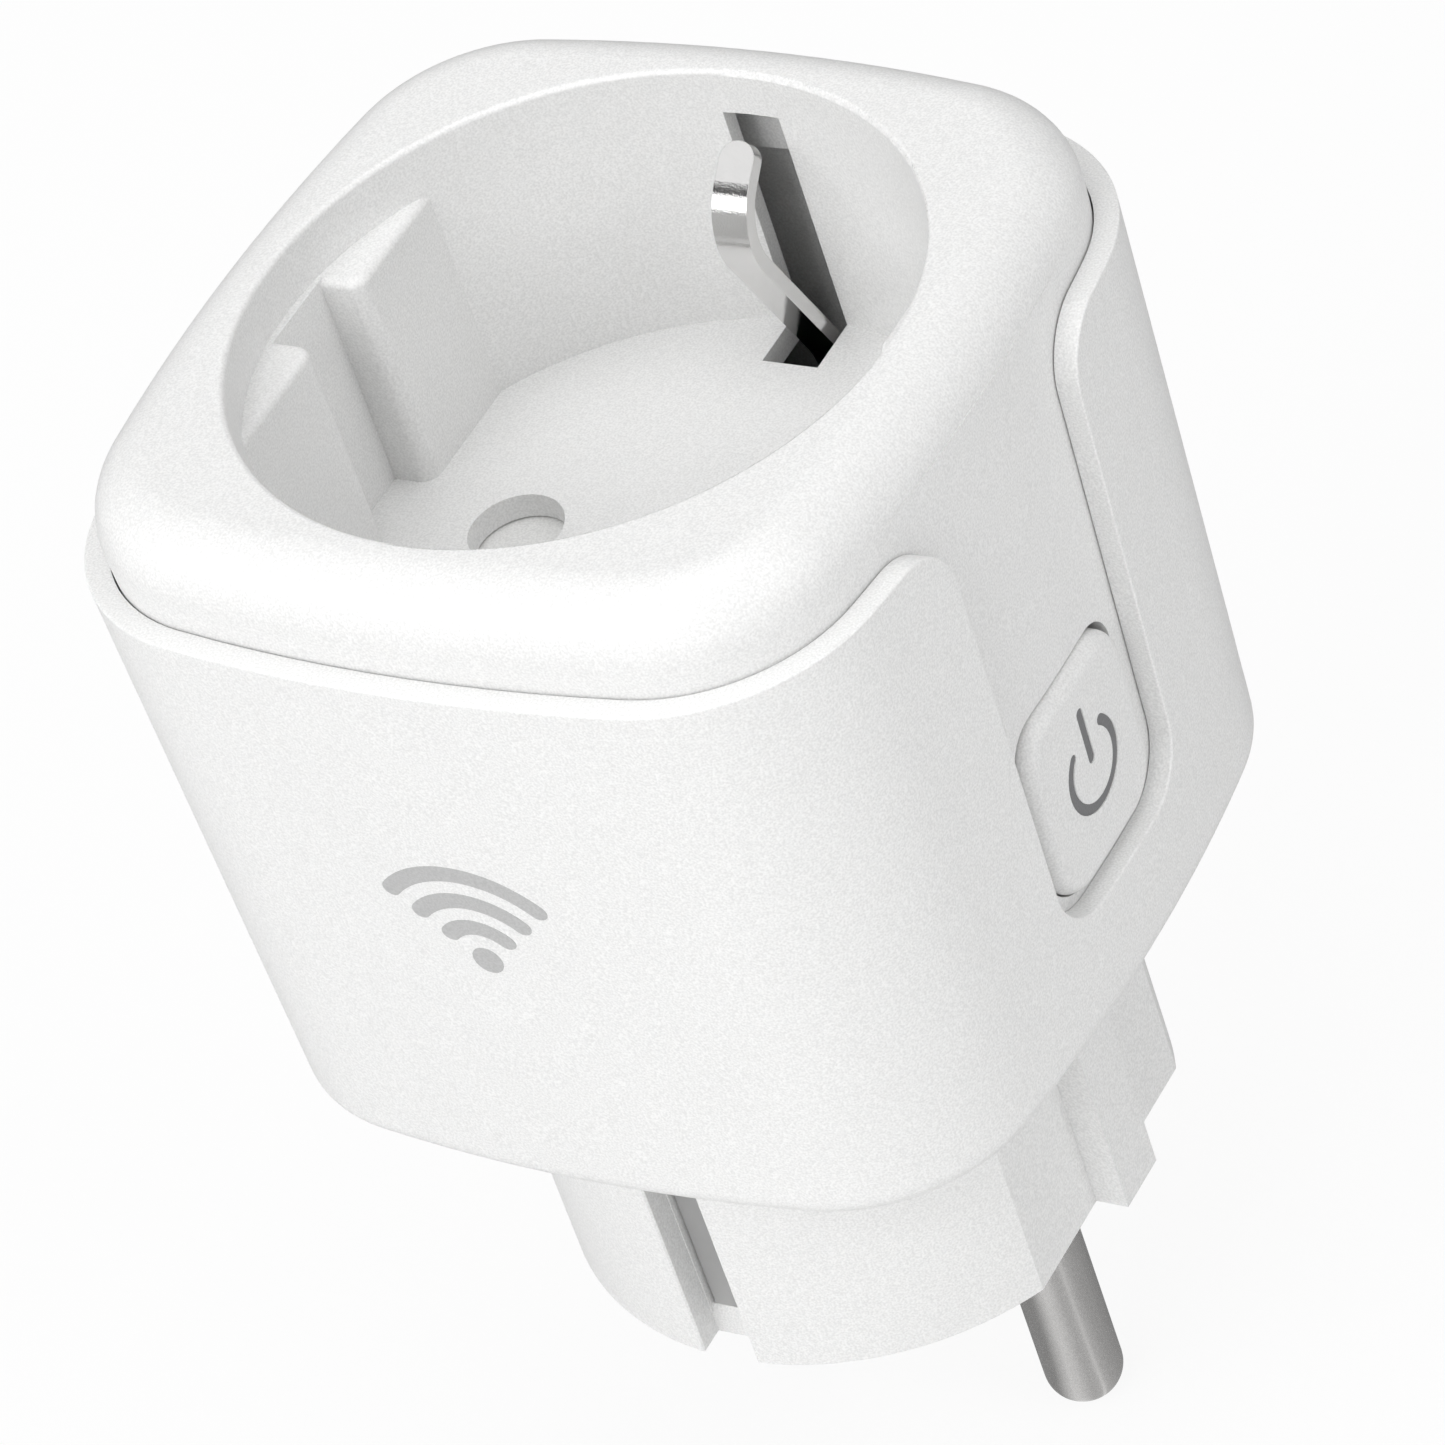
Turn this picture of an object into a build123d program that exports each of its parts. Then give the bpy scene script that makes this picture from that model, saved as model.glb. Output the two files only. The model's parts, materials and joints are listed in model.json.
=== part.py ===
from build123d import *
import os
from math import atan2, degrees, sqrt

# Smart plug with an earthed round socket, modelled as its separate pieces.
# Frame: +Z out of the socket, the plug pins point to -Z, +X carries the power button.
# Origin: on the socket axis, at the underside of the square body. Millimetres.

# ---- Driving dimensions ----

# Body outline: a square with bowed sides that widens slightly towards the rim.
rim_z = 38.35
half_width_bottom = 24.27
half_width_rim = 25.23
side_bow_radius = 109.0
corner_radius_bottom = 10.9
corner_radius_rim = 11.8

# Outer shell.
shell_wall = 1.4
shell_floor = 2.0
shell_bottom_round = 1.5
shell_rim_round = 0.12
seam_gap = 0.1
opening_gap = 0.1
notch_bottom_z = 7.4
notch_half_bottom = 7.0
notch_half_rim = 7.5
notch_corner_radius = 3.7
notch_flare_radius = 3.9

# Socket housing: the cap, the cup with its prisms, and the tongue behind the notch.
cap_top_z = 43.9
cap_edge_round = 3.6
cap_plate = 2.4
housing_wall = 1.5
skirt_bottom_z = 36.3
skirt_overlap = 1.0
recess_radius = 19.5
recess_depth = 17.8
recess_edge_round = 0.3
cup_wall = 1.0
cup_floor = 1.6
prism_flat_x = 16.4
prism_top_z = 40.6
prism_groove_x = 19.0
prism_groove_half = 2.5
prism_edge_round = 0.5
clip_slot_half = 1.8
clip_slot_inner_y = 15.7
clip_slot_top_z = 41.0
pin_spacing_half = 9.5
pin_hole_radius = 2.82
tongue_half = 9.6
tongue_bottom_z = 5.0
tongue_swell = 0.06
tongue_swell_half = 13.4
tongue_crest = 0.05
pillar_radius = 2.6

# Plug base: the boss that enters the wall socket, and the flange that carries it.
boss_radius = 18.3
boss_depth = 20.1
boss_flat_x = 15.93
boss_rib_x = 18.02
boss_rib_half = 1.9
boss_wall = 2.1
boss_end_wall = 3.0
boss_edge_chamfer = 0.12
collar_radius = 19.7
flange_radius = 21.4
flange_top_z = 3.6
earth_channel_half = 1.75
earth_channel_floor_y = 16.5
earth_channel_wall = 1.2
strap_pocket_bottom_z = -18.0
strap_pocket_ramp = 0.5
pin_radius = 2.4
pin_length = 19.5
pin_tip_round = 2.25
pin_collar = 0.2
pin_root_radius = 2.6
pin_neck_radius = 2.0
pin_tail_radius = 1.5
pin_head_radius = 2.1
pin_head_height = 0.5
pin_tube_radius = 4.0
screw_y = 11.0
screw_tube_radius = 4.1
screw_web_z = 0.6
screw_bore_radius = 2.9
screw_head_radius = 2.6
screw_head = 1.8
screw_thread_radius = 1.15
screw_clear_radius = 1.6
screw_tip_z = 13.0

# Power button and its symbol.
button_bottom_z = 7.95
button_top_z = 20.68
button_half = 5.7
button_top_radius = 3.0
button_bottom_radius = 3.0
button_proud = 0.8
button_edge_round = 0.9
button_gap = 0.12
button_opening_top_radius = 2.3
button_wall = 1.2
button_rear_x = 20.6
button_flange = 0.5
button_flange_reach = 0.9
light_guide_x = 21.4
symbol_z = 14.3
symbol_ring_radius = 2.5
symbol_stroke = 0.66
symbol_gap_angle = 84.0
symbol_bar_top_z = 18.4
symbol_bar_bottom_z = 14.5
symbol_sunk = 0.08

# Child-safety shutter below the cup floor, and the carrier under it.
shutter_gap = 0.1
shutter_thickness = 1.8
shutter_lobe_radius = 3.7
shutter_hub_radius = 4.6
shutter_arm_half = 2.6
shutter_ramp_angle = 14.0
pivot_radius = 1.6
pivot_clearance = 0.05
fit_gap = 0.05
shutter_ramp_offset = 1.2
spring_pocket_inner = 2.3
spring_pocket_outer = 3.6
spring_pocket_depth = 0.9
spring_radius = 2.95
spring_wire_radius = 0.11
carrier_plate = 1.2
carrier_half_width = 8.0
carrier_radius = 13.6
carrier_tube_bottom_z = 9.0
carrier_tube_half_x = 3.5
carrier_tube_half_y = 5.2
carrier_tube_wall = 1.0
carrier_hole_radius = 3.0
carrier_screw_radius = 1.0
carrier_screw_head_radius = 2.4
carrier_screw_head = 1.4

# Metal strip parts.
strip = 0.8
clip_strip = 0.9
clip_width = 2.25
clip_bend_z = 23.45
clip_touch_y = 13.89
clip_touch_z = 36.75
clip_tip_y = 18.09
clip_tip_z = 40.19
clip_tip_round = 1.1
clip_root_half = 2.0
clip_root_top_z = 18.2
clip_hole_gap = 0.2
clip_play = 0.35
strap_width = 3.0
strap_side_gap = 0.2
contact_strip = 0.7
contact_width = 4.4
clip_pivot_y = 19.9
clip_pivot_z = 14.5
clip_bend_radius = 4.0
strap_y = 15.75
strap_rise_y = 19.0
strap_top_z = 18.0
strap_bend_radius = 0.7
rivet_rise = 1.8
rivet_radius = 0.8
rivet_head_radius = 1.5
rivet_head = 0.5
contact_base_z = 5.95
contact_top_z = 20.6
contact_pinch_z = 16.5
contact_pinch_half = 2.55
contact_mouth_half = 3.6
contact_body_half = 3.4
busbar_z = 4.0
busbar_width = 5.0
busbar_far_y = -7.8

# Circuit boards and what stands on them.
board_bottom_z = 5.0
board_thickness = 1.6
board_inset = 3.3
standoff_xy = 14.2
standoff_radius = 1.1
solder_gap = 0.05
button_board_x = 15.4
button_board_thickness = 1.2
button_board_half = 8.0
button_board_top_z = 21.8
switch_z = 14.7
switch_half = 3.0
switch_depth = 3.4
switch_travel = 0.5
stem_radius = 1.7
lamp_z = 19.6
radio_board_y = 17.2
radio_board_thickness = 0.8
radio_board_left_x = 3.0
radio_board_right_x = 17.0
radio_board_top_z = 21.0
shield_depth = 1.8
shield_wall = 0.3

# Relay in the front left corner.
relay_left_x = -18.4
relay_right_x = -3.2
relay_front_y = -18.2
relay_back_y = -5.8
relay_foot = 1.6
relay_top_z = 20.0
relay_wall = 0.6
coil_x = -13.8
coil_y = -12.0
coil_radius = 3.5
coil_rim_radius = 3.9
coil_rim = 0.7
coil_height = 7.6
core_radius = 1.5
core_height = 8.2
yoke_left_x = -9.9
yoke_right_x = -9.0
yoke_half_y = 3.0
yoke_height = 8.8
flap_gap = 0.05
flap_thickness = 0.9
flap_left_x = -17.6
blade_right_x = -5.2
relay_contact_radius = 0.9

# Power supply parts.
core_left_x = 3.2
core_right_x = 15.0
core_front_y = -14.5
core_back_y = -9.5
core_top_z = 18.0
core_frame = 1.6
core_leg_half = 1.7
winding_margin = 1.6
winding_front_y = -16.4
winding_back_y = -7.6
large_can = (-14.0, 14.0, 4.0, 19.0)
small_can = (-5.9, 15.2, 3.1, 16.5)
can_edge_round = 0.4
varistor_x = -14.6
varistor_z = 12.6
varistor_radius = 4.5
varistor_front_y = 6.0
varistor_back_y = 8.9
resistor_x = -4.2
resistor_y = 7.0
resistor_radius = 1.5
resistor_top_z = 14.6

# ---- Derived dimensions ----

cap_inset = shell_wall + seam_gap
cup_radius = recess_radius + cup_wall
recess_floor_z = cap_top_z - recess_depth
cup_underside_z = recess_floor_z - cup_floor
shutter_top_z = cup_underside_z - shutter_gap
shutter_bottom_z = shutter_top_z - shutter_thickness
carrier_top_z = shutter_bottom_z - shutter_gap
carrier_underside_z = carrier_top_z - carrier_plate
board_top_z = board_bottom_z + board_thickness
part_seat_z = board_top_z + solder_gap
button_board_face_x = button_board_x + button_board_thickness
switch_face_x = button_board_face_x + switch_depth
stem_tip_x = switch_face_x + switch_travel
relay_seat_z = part_seat_z + relay_foot
flap_z = relay_seat_z + yoke_height + flap_gap
rivet_z = clip_pivot_z + rivet_rise


# ---- Shared shapes ----


def box(x0, x1, y0, y1, z0, z1):
    """Block between two corners."""
    size = Box(x1 - x0, y1 - y0, z1 - z0, align=(Align.MIN, Align.MIN, Align.MIN))
    return Pos(x0, y0, z0) * size


def rod(radius, z0, z1, x=0.0, y=0.0):
    """Round bar along Z."""
    bar = Cylinder(radius, z1 - z0, align=(Align.CENTER, Align.CENTER, Align.MIN))
    return Pos(x, y, z0) * bar


def rod_along_x(radius, x0, x1, y, z):
    """Round bar along X."""
    bar = Cylinder(radius, x1 - x0, align=(Align.CENTER, Align.CENTER, Align.MIN))
    return Pos(x0, y, z) * Rot(0, 90, 0) * bar


def rod_along_y(radius, y0, y1, x, z):
    """Round bar along Y."""
    bar = Cylinder(radius, y1 - y0, align=(Align.CENTER, Align.CENTER, Align.MIN))
    return Pos(x, y0, z) * Rot(-90, 0, 0) * bar


def across(sketch, x0, x1):
    """Extrude a sketch drawn in Y and Z from x0 to x1."""
    return extrude(Plane.YZ.offset(x0) * sketch, amount=x1 - x0)


def edges_at_z(part, z):
    """Edges that lie flat at one height."""
    low = z - 0.01
    return part.edges().filter_by_position(Axis.Z, low, z + 0.01)


def wall_half_width(z):
    """Half width of the body at height z, between the middles of two sides."""
    return half_width_bottom + (half_width_rim - half_width_bottom) * z / rim_z


def body_face(z, inset):
    """Body outline at height z, pulled in evenly by inset."""
    half = wall_half_width(z) - inset
    corner = corner_radius_bottom + (corner_radius_rim - corner_radius_bottom) * z / rim_z - inset
    bow = side_bow_radius - inset
    # A side arc is centred behind the axis; the corner arc is tangent to it on the diagonal.
    setback = bow - half
    corner_centre = (sqrt(2 * (bow - corner) ** 2 - setback**2) - setback) / 2
    sweep_half = degrees(atan2(corner_centre, corner_centre + setback))
    side = CenterArc((-setback, 0), bow, -sweep_half, 2 * sweep_half)
    bend = CenterArc((corner_centre, corner_centre), corner, sweep_half, 90 - 2 * sweep_half)
    quarter_turns = [Rot(0, 0, 90 * turn) * arc for turn in range(4) for arc in (side, bend)]
    return Pos(0, 0, z) * make_face(Curve() + quarter_turns)


def body_block(z0, z1, inset):
    """Solid block with the body's outline and taper, pulled in evenly by inset."""
    return loft([body_face(z0, inset), body_face(z1, inset)], ruled=True)


def bent_strip(points, x, width, thickness, bend_radius):
    """Metal strip of the given width along X, bent along points in Y and Z."""
    path = Plane.YZ.offset(x) * FilletPolyline(*points, radius=bend_radius)
    start = Plane(origin=path @ 0, x_dir=(1, 0, 0), z_dir=path % 0)
    return sweep(start * Rectangle(width, thickness), path=path.wire())


def mirrored(part):
    """The same piece on the rear (+Y) side."""
    return part.mirror(Plane.XZ)


# ---- Casing ----


def notch_sketch():
    """Opening in the +X wall: straight sides, rounded foot, flared mouth at the rim."""
    mouth = notch_half_rim + 2 * notch_flare_radius
    above = rim_z + 5
    corners = [
        (-notch_half_bottom, notch_bottom_z),
        (notch_half_bottom, notch_bottom_z),
        (notch_half_rim, rim_z),
        (mouth, rim_z),
        (mouth, above),
        (-mouth, above),
        (-mouth, rim_z),
        (-notch_half_rim, rim_z),
    ]
    outline = make_face(Polyline(*corners, close=True))
    feet = outline.vertices().filter_by_position(Axis.Y, notch_bottom_z - 1, notch_bottom_z + 1)
    outline = fillet(feet, notch_corner_radius)
    mouths = outline.vertices().filter_by_position(Axis.Y, rim_z - 1, rim_z + 1)
    mouths = mouths.filter_by_position(Axis.X, -notch_half_rim - 1, notch_half_rim + 1)
    return fillet(mouths, notch_flare_radius)


def make_outer_shell():
    """Square sleeve with a floor, a round opening for the plug base and a side notch."""
    shell = body_block(0, rim_z, 0) - across(notch_sketch(), 15, 30)
    rim = edges_at_z(shell, rim_z).filter_by(GeomType.CIRCLE)
    notch_mouth = shell.edges().filter_by(GeomType.BSPLINE)
    shell = fillet(rim + notch_mouth, shell_rim_round)
    shell = fillet(edges_at_z(shell, 0), shell_bottom_round)
    shell -= body_block(shell_floor, rim_z + 1, shell_wall)
    return shell - rod(collar_radius + opening_gap, -1, shell_floor + 1)


def button_outline(grow, top_radius=button_top_radius):
    """Outline of the power button in Y and Z, made larger by grow."""
    half = button_half + grow
    low = button_bottom_z - grow
    high = button_top_z + grow
    face = make_face(Polyline((-half, low), (half, low), (half, high), (-half, high), close=True))
    face = fillet(face.vertices().group_by(Axis.Y)[0], button_bottom_radius + grow)
    return fillet(face.vertices().group_by(Axis.Y)[-1], top_radius + grow)


def swell_face(z):
    """Slice of the +X wall at height z whose face swells slightly and fades at both ends."""
    half = tongue_swell_half
    bow = side_bow_radius - cap_inset
    middle_x = wall_half_width(z) - cap_inset
    end_x = middle_x - bow + sqrt(bow**2 - half**2) - tongue_swell / 2
    inner_x = end_x - housing_wall / 3
    front = ThreePointArc((end_x, -half), (middle_x + tongue_swell, 0), (end_x, half))
    back = Polyline((end_x, half), (inner_x, half), (inner_x, -half), (end_x, -half))
    return Pos(0, 0, z) * make_face(front + back)


def make_tongue():
    """Panel that hangs from the cap behind the notch and frames the power button."""
    top = skirt_bottom_z + skirt_overlap
    panel = body_block(tongue_bottom_z, top, cap_inset)
    panel -= body_block(tongue_bottom_z - 1, top + 1, cap_inset + housing_wall)
    swell_top_z = cap_top_z - cap_edge_round + tongue_crest
    swell = loft([swell_face(tongue_bottom_z), swell_face(swell_top_z)], ruled=True)
    hanging = box(10, 30, -tongue_half, tongue_half, tongue_bottom_z, top)
    joined = box(10, 30, -tongue_swell_half - 1, tongue_swell_half + 1, skirt_bottom_z, 45)
    opening = across(button_outline(button_gap, button_opening_top_radius), 15, 30)
    return (panel & hanging) + (swell & (hanging + joined)) - opening


def make_prism():
    """Guide prism on the +X side of the recess, split by a groove."""
    block = box(prism_flat_x, 21, -12, 12, recess_floor_z - 1, prism_top_z)
    block -= box(15, prism_groove_x, -prism_groove_half, prism_groove_half, 0, 50)
    corners = block.edges().filter_by(Axis.Z).group_by(Axis.X)[0]
    corners = corners.filter_by_position(Axis.Y, -prism_groove_half - 1, prism_groove_half + 1)
    block = fillet(corners, 2 * prism_edge_round)
    top = edges_at_z(block, prism_top_z)
    top = top.filter_by_position(Axis.X, prism_flat_x - 1, prism_groove_x - 0.1)
    top = top.filter_by_position(Axis.Y, -11.9, 11.9)
    return fillet(top, prism_edge_round)


def make_recess():
    """Hollow of the socket, less the two prisms."""
    prism = make_prism()
    hollow = rod(recess_radius, recess_floor_z, cap_top_z + 1)
    return hollow - prism - prism.mirror(Plane.YZ)


def make_socket_housing():
    """Cap, socket cup and tongue in one moulding, with pillars for the screws."""
    cap = body_block(skirt_bottom_z, cap_top_z, cap_inset)
    cap = fillet(edges_at_z(cap, cap_top_z), cap_edge_round)
    cap -= rod(recess_radius, prism_top_z + 1, cap_top_z + 1)
    cap = fillet(edges_at_z(cap, cap_top_z).filter_by(lambda edge: edge.is_closed), recess_edge_round)
    inside_top_z = cap_top_z - cap_plate
    inside = body_block(skirt_bottom_z - 1, inside_top_z, cap_inset + housing_wall)
    inside = fillet(edges_at_z(inside, inside_top_z), cap_edge_round - housing_wall)
    housing = cap - inside
    housing += rod(cup_radius, cup_underside_z, inside_top_z + 1)
    housing += make_tongue()
    for side in (-1, 1):
        y = side * screw_y
        pillar = rod(pillar_radius, flange_top_z + fit_gap, cup_underside_z + cup_floor / 2, y=y)
        housing += pillar - rod(screw_thread_radius, 0, screw_tip_z + 1, y=y)
    housing += rod(pivot_radius, carrier_top_z + fit_gap, cup_underside_z + cup_floor / 2)
    housing -= rod(carrier_screw_radius, 0, cup_underside_z - fit_gap)
    housing -= make_recess()
    for side in (-1, 1):
        hole = rod(pin_hole_radius, 20, 30, x=side * pin_spacing_half)
        housing -= hole
    slot = box(-clip_slot_half, clip_slot_half, clip_slot_inner_y, cup_radius + 0.1,
               cup_underside_z - 1, clip_slot_top_z)
    return housing - slot - mirrored(slot)


# ---- Plug side ----


def make_boss():
    """Round boss with flats and central ribs on the X sides, earth channels on the Y sides."""
    boss = rod(boss_radius, -boss_depth, 0)
    boss &= box(-boss_flat_x, boss_flat_x, -20, 20, -boss_depth, 0)
    boss += box(-boss_rib_x, boss_rib_x, -boss_rib_half, boss_rib_half, -boss_depth, 0)
    channel = box(-earth_channel_half, earth_channel_half, earth_channel_floor_y, 20, -boss_depth, 0)
    boss = boss - channel - mirrored(channel)
    mouth = boss.edges().filter_by(Axis.Z).filter_by(lambda edge: abs(edge.center().Y) > boss_flat_x + 1)
    return chamfer(mouth + edges_at_z(boss, -boss_depth), boss_edge_chamfer)


def make_strap_pocket():
    """Pocket behind the rear earth channel that holds the strap, with a ramp at its foot."""
    half = strap_width / 2 + strap_side_gap
    back_y = strap_y - strip / 2 - fit_gap
    face_y = strap_y + strip / 2
    slot_y = face_y + opening_gap
    beyond_y = 2 * earth_channel_floor_y - face_y
    profile = Polyline(
        (back_y, strap_pocket_bottom_z),
        (face_y, strap_pocket_bottom_z),
        (beyond_y, strap_pocket_bottom_z - 2 * strap_pocket_ramp),
        (beyond_y, 0),
        (slot_y, 0),
        (slot_y, flange_top_z + 1),
        (back_y, flange_top_z + 1),
        close=True,
    )
    return across(make_face(profile), -half, half)


def make_plug_base():
    """Hollow boss, collar in the shell's opening, and flange on the shell's floor."""
    base = make_boss() + rod(collar_radius, 0, shell_floor)
    base += rod(flange_radius, shell_floor, flange_top_z)
    inner_x = boss_flat_x - boss_wall
    channel_wall_y = strap_y - strip / 2 - earth_channel_wall
    wall_half = earth_channel_half + earth_channel_wall
    far = boss_radius + boss_depth
    hollow = rod(boss_radius - boss_wall, boss_end_wall - boss_depth, flange_top_z + 1)
    hollow &= box(-inner_x, inner_x, -far, far, -far, far)
    channel_back = box(-wall_half, wall_half, channel_wall_y, far, -far, far)
    hollow = hollow - channel_back - mirrored(channel_back)
    for side in (-1, 1):
        hollow -= rod(pin_tube_radius, -far, shell_floor, x=side * pin_spacing_half)
        hollow -= rod(screw_tube_radius, -far, flange_top_z, y=side * screw_y)
    base -= hollow
    for side in (-1, 1):
        base -= rod(pin_root_radius, -far, far, x=side * pin_spacing_half)
        base -= rod(screw_bore_radius, -far, screw_web_z, y=side * screw_y)
        base -= rod(screw_clear_radius, -far, far, y=side * screw_y)
        for end in (-1, 1):
            x = side * standoff_xy
            y = end * standoff_xy
            base += rod(standoff_radius, flange_top_z, board_bottom_z, x=x, y=y)
    pocket = make_strap_pocket()
    return base - pocket - mirrored(pocket)


def make_pin(x, strip_z):
    """Solid plug pin: round tip, collar, shoulder, and a tail staked over the strip at strip_z."""
    shoulder_z = strip_z - contact_strip / 2
    seat_z = strip_z + contact_strip / 2
    tip_z = -boss_depth - pin_length
    root_z = -boss_depth - pin_collar
    pin = rod(pin_radius, tip_z, root_z, x=x)
    pin = fillet(edges_at_z(pin, tip_z), pin_tip_round)
    pin += rod(pin_root_radius, root_z, shell_floor, x=x)
    pin += rod(pin_neck_radius, shell_floor, shoulder_z, x=x)
    pin += rod(pin_tail_radius, shoulder_z, seat_z, x=x)
    return pin + rod(pin_head_radius, seat_z, seat_z + pin_head_height, x=x)


def make_housing_screws():
    """Two pan-head screws up the boss tubes into the housing's pillars."""
    head_z = screw_web_z - screw_head
    slot_half = 0.25
    slot_reach = 1.5
    slot_top_z = head_z + 0.8
    head = fillet(edges_at_z(rod(screw_head_radius, head_z, screw_web_z), head_z), 0.7)
    head -= box(-slot_reach, slot_reach, -slot_half, slot_half, head_z - 1, slot_top_z)
    head -= box(-slot_half, slot_half, -slot_reach, slot_reach, head_z - 1, slot_top_z)
    screw = head + rod(screw_thread_radius, screw_web_z, screw_tip_z)
    return Compound(children=[Pos(0, side * screw_y, 0) * screw for side in (-1, 1)])


# ---- Earth path ----


def make_earth_clip():
    """Sprung clip: rises through the cup floor, leans in to touch, and curls back to a round tip."""
    points = [
        (-clip_pivot_y, clip_pivot_z),
        (-clip_pivot_y, clip_bend_z),
        (-clip_touch_y, clip_touch_z),
        (-clip_tip_y, clip_tip_z),
    ]
    clip = bent_strip(points, 0, clip_width, clip_strip, clip_bend_radius)
    end = clip.faces().sort_by_distance((0, -clip_tip_y, clip_tip_z))[0]
    clip = fillet(end.edges().sort_by(SortBy.LENGTH)[:2], clip_tip_round)
    inner_y = -clip_pivot_y + clip_strip / 2
    outer_y = inner_y - clip_strip
    clip += box(-clip_root_half, clip_root_half, outer_y, inner_y, clip_pivot_z, clip_root_top_z)
    return clip - rod_along_y(rivet_radius + clip_hole_gap, outer_y - 1, inner_y + 1, 0, rivet_z)


def make_earth_strap():
    """Side contact in the boss channel that steps out and rises to meet the clip."""
    step_z = flange_top_z + strip / 2 + opening_gap
    points = [
        (-strap_y, strap_pocket_bottom_z + fit_gap),
        (-strap_y, step_z),
        (-strap_rise_y, step_z),
        (-strap_rise_y, strap_top_z),
    ]
    strap = bent_strip(points, 0, strap_width, strip, strap_bend_radius)
    return strap - rod_along_y(rivet_radius, -strap_rise_y - strip, -strap_rise_y + strip, 0, rivet_z)


def make_earth_rivets():
    """One rivet on each side through the strap and the clip's root, with room for the clip to tilt."""
    inner_y = -strap_rise_y + strip / 2
    outer_y = -clip_pivot_y - clip_strip / 2 - clip_play
    rivet = rod_along_y(rivet_radius, outer_y, inner_y, 0, rivet_z)
    rivet += rod_along_y(rivet_head_radius, inner_y, inner_y + rivet_head, 0, rivet_z)
    rivet += rod_along_y(rivet_head_radius, outer_y - rivet_head, outer_y, 0, rivet_z)
    return Compound(children=[rivet, mirrored(rivet)])


def make_earth_wire():
    """Wire under the board that joins the two straps."""
    wire_radius = 0.6
    half_turn = CenterArc((0, 0), strap_rise_y - 0.7, 96.5, 167)
    path = Pos(0, 0, flange_top_z + wire_radius + opening_gap) * half_turn
    start = Plane(origin=path @ 0, z_dir=path % 0)
    return sweep(start * Circle(wire_radius), path=path)


# ---- Live and neutral path ----


def make_contact(x):
    """Spring contact that grips an inserted pin between two arms."""
    arm = [
        (contact_mouth_half, contact_top_z),
        (contact_pinch_half, contact_pinch_z),
        (contact_body_half, carrier_tube_bottom_z),
        (contact_body_half, contact_base_z),
    ]
    points = [(-y, z) for y, z in arm] + arm[::-1]
    return bent_strip(points, x, contact_width, contact_strip, strap_bend_radius)


def make_neutral_contact():
    """Contact staked straight onto the neutral pin."""
    x = pin_spacing_half
    return make_contact(x) - rod(pin_tail_radius, 0, contact_base_z + contact_strip, x=x)


def make_live_busbar():
    """Strip from the live pin to the relay."""
    points = [(busbar_width / 2, busbar_z), (busbar_far_y, busbar_z), (busbar_far_y, board_top_z)]
    bar = bent_strip(points, -pin_spacing_half, busbar_width, contact_strip, strap_bend_radius)
    return bar - rod(pin_tail_radius, 0, busbar_z + contact_strip, x=-pin_spacing_half)


def make_contact_carrier():
    """Plate under the shutter with a guide tube around each contact."""
    carrier = rod(carrier_radius, carrier_underside_z, carrier_top_z)
    carrier &= box(-20, 20, -carrier_half_width, carrier_half_width, 0, cap_top_z)
    outer_x = carrier_tube_half_x
    outer_y = carrier_tube_half_y
    inner_x = outer_x - carrier_tube_wall
    inner_y = outer_y - carrier_tube_wall
    for side in (-1, 1):
        tube = box(-outer_x, outer_x, -outer_y, outer_y, carrier_tube_bottom_z, carrier_underside_z)
        inside = box(-inner_x, inner_x, -inner_y, inner_y, 0, carrier_underside_z)
        place = Pos(side * pin_spacing_half, 0, 0)
        carrier = carrier + place * tube - place * inside
        carrier -= rod(carrier_hole_radius, 0, cap_top_z, x=side * pin_spacing_half)
    return carrier - rod(carrier_screw_radius + opening_gap, 0, cap_top_z)


def make_carrier_screw():
    """Screw that holds the carrier against the shutter pivot."""
    head_z = carrier_underside_z - carrier_screw_head
    reach = carrier_screw_head_radius + 1
    head = rod(carrier_screw_head_radius, head_z, carrier_underside_z)
    head = fillet(edges_at_z(head, head_z), carrier_screw_head / 2 - opening_gap)
    slot = box(-reach, reach, -0.3, 0.3, 0, head_z + carrier_screw_head / 2)
    return head - slot + rod(carrier_screw_radius, carrier_underside_z, cup_underside_z - 2 * fit_gap)


# ---- Shutter ----


def make_shutter():
    """Two-lobed rotor that covers both pin holes and has a ramp on each lobe."""
    rotor = rod(shutter_hub_radius, shutter_bottom_z, shutter_top_z)
    reach = pin_spacing_half
    rotor += box(-reach, reach, -shutter_arm_half, shutter_arm_half, shutter_bottom_z, shutter_top_z)
    offset = shutter_ramp_offset
    for side in (-1, 1):
        rotor += rod(shutter_lobe_radius, shutter_bottom_z, shutter_top_z, x=side * reach)
        ramp = Box(8, 8, 3, align=(Align.CENTER, Align.CENTER, Align.MIN))
        tilt = Rot(-side * shutter_ramp_angle, 0, 0)
        rotor -= Pos(side * (reach + offset), side * offset, shutter_top_z) * tilt * ramp
    rotor -= rod(pivot_radius + pivot_clearance, 0, cap_top_z)
    pocket = rod(spring_pocket_outer, 0, shutter_bottom_z + spring_pocket_depth)
    return rotor - (pocket - rod(spring_pocket_inner, 0, cap_top_z))


def make_shutter_spring():
    """Coil in the pocket under the rotor's hub that turns the rotor back."""
    path = Helix(pitch=0.3, height=0.5, radius=spring_radius)
    path = Pos(0, 0, shutter_bottom_z + spring_wire_radius + fit_gap) * path
    start = Plane(origin=path @ 0, z_dir=path % 0)
    return sweep(start * Circle(spring_wire_radius), path=path, is_frenet=True)


# ---- Power button ----


def symbol_sketch():
    """Power symbol in Y and Z: an open ring with a bar through the gap."""
    start = 90 + symbol_gap_angle / 2
    ring = SlotArc(CenterArc((0, symbol_z), symbol_ring_radius, start, 360 - symbol_gap_angle),
                   symbol_stroke)
    length = symbol_bar_top_z - symbol_bar_bottom_z
    bar = SlotOverall(length, symbol_stroke, rotation=90)
    return ring + Pos(0, symbol_bar_bottom_z + length / 2) * bar


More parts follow.
